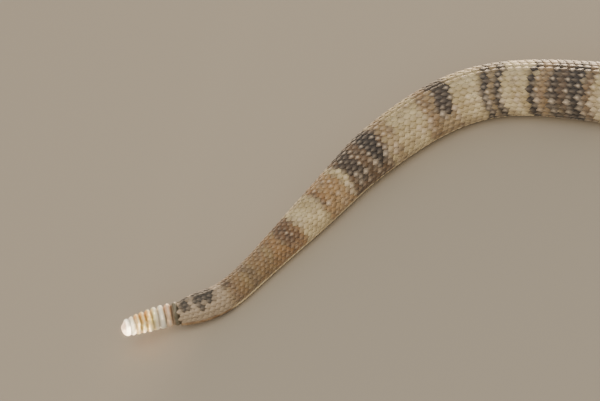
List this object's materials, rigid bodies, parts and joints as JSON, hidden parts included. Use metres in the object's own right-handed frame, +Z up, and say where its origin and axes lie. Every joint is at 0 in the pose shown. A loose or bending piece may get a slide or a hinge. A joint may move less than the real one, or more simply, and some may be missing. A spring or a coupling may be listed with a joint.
{
  "type": "southwestern speckled rattlesnake, life-size still model",
  "caption": "A whole speckled rattlesnake lying in shallow bends with its rattle a little raised: a still, life-size natural history model that rests on its belly",
  "frame": {"origin": "On the floor under the middle of the animal's box", "axes": "+X runs from the rattle to the snout along the length of the animal, +Z is up from the belly, and +Y is to the animal's left"},
  "size_m": [0.8166, 0.173, 0.0283],
  "materials": {
    "back_skin": "dry keeled snake scales, tan with dark brown-grey crossbands and pale specks",
    "tail_skin": "dry keeled snake scales, ash grey with near-black rings",
    "head_skin": "small dry granular snake scales, tan with fine dark specks",
    "jaw_skin": "smooth pale cream lip and chin scales",
    "eye": "wet clear scale over a grey-tan iris with an upright slit pupil",
    "rattle_horn": "translucent dry horn, cream to orange-tan"
  },
  "bodies": {
    "root": {"head": "head_skin", "lower_jaw": "jaw_skin", "eye_left": "eye", "eye_right": "eye", "neck": "back_skin", "body_1": "back_skin", "body_2": "back_skin", "body_3": "back_skin", "body_4": "back_skin", "body_5": "back_skin", "body_6": "back_skin", "tail": "tail_skin", "rattle": "rattle_horn"}
  },
  "joints": []
}
